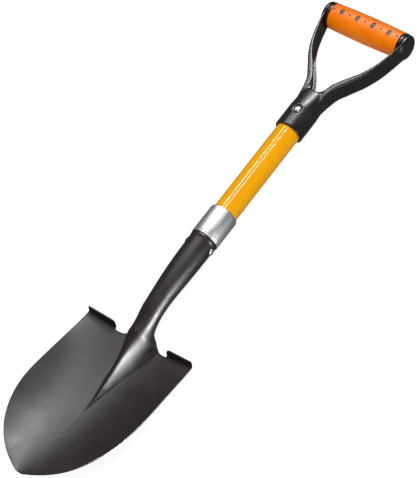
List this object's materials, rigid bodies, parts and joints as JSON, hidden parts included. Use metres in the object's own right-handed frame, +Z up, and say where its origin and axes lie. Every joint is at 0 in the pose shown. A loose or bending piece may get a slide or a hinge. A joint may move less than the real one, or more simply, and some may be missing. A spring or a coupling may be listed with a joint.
{
  "type": "detecting shovel",
  "caption": "Short D-handled round-point digging shovel: dished steel blade with forward treads and rolled socket, ferrule, glass-fibre shaft and moulded D-grip with a soft sleeve.",
  "frame": {"origin": "middle of the bounding box seen from above, on the floor plane that the tool rests on", "axes": "+X from the blade tip to the grip, +Y across to the tool's own left, +Z up from the floor, which is the dish side of the blade"},
  "size_m": [0.6852, 0.1522, 0.0488],
  "materials": {
    "blade_coat": "satin black powder coat on pressed steel sheet",
    "rivet_zinc": "zinc-plated steel, cold headed",
    "washer_zinc": "zinc-plated steel, stamped",
    "ferrule_aluminium": "bright drawn aluminium with fine drawing lines along it",
    "glass_fibre": "gloss yellow-orange polyester skin on a pultruded glass-fibre tube",
    "plug_wood": "plain turned hardwood",
    "yoke_nylon": "satin black injection-moulded nylon",
    "core_nylon": "satin black injection-moulded nylon",
    "sleeve_rubber": "matt orange thermoplastic rubber",
    "rod_steel": "bright cold-drawn steel"
  },
  "bodies": {
    "root": {"blade": "blade_coat", "socket_rivet": "rivet_zinc", "ferrule": "ferrule_aluminium", "shaft_tube": "glass_fibre", "lower_core_plug": "plug_wood", "upper_core_plug": "plug_wood", "yoke": "yoke_nylon", "yoke_rivet": "rivet_zinc", "yoke_rivet_washer": "washer_zinc", "grip_core": "core_nylon", "grip_sleeve": "sleeve_rubber", "grip_rod": "rod_steel"}
  },
  "joints": []
}
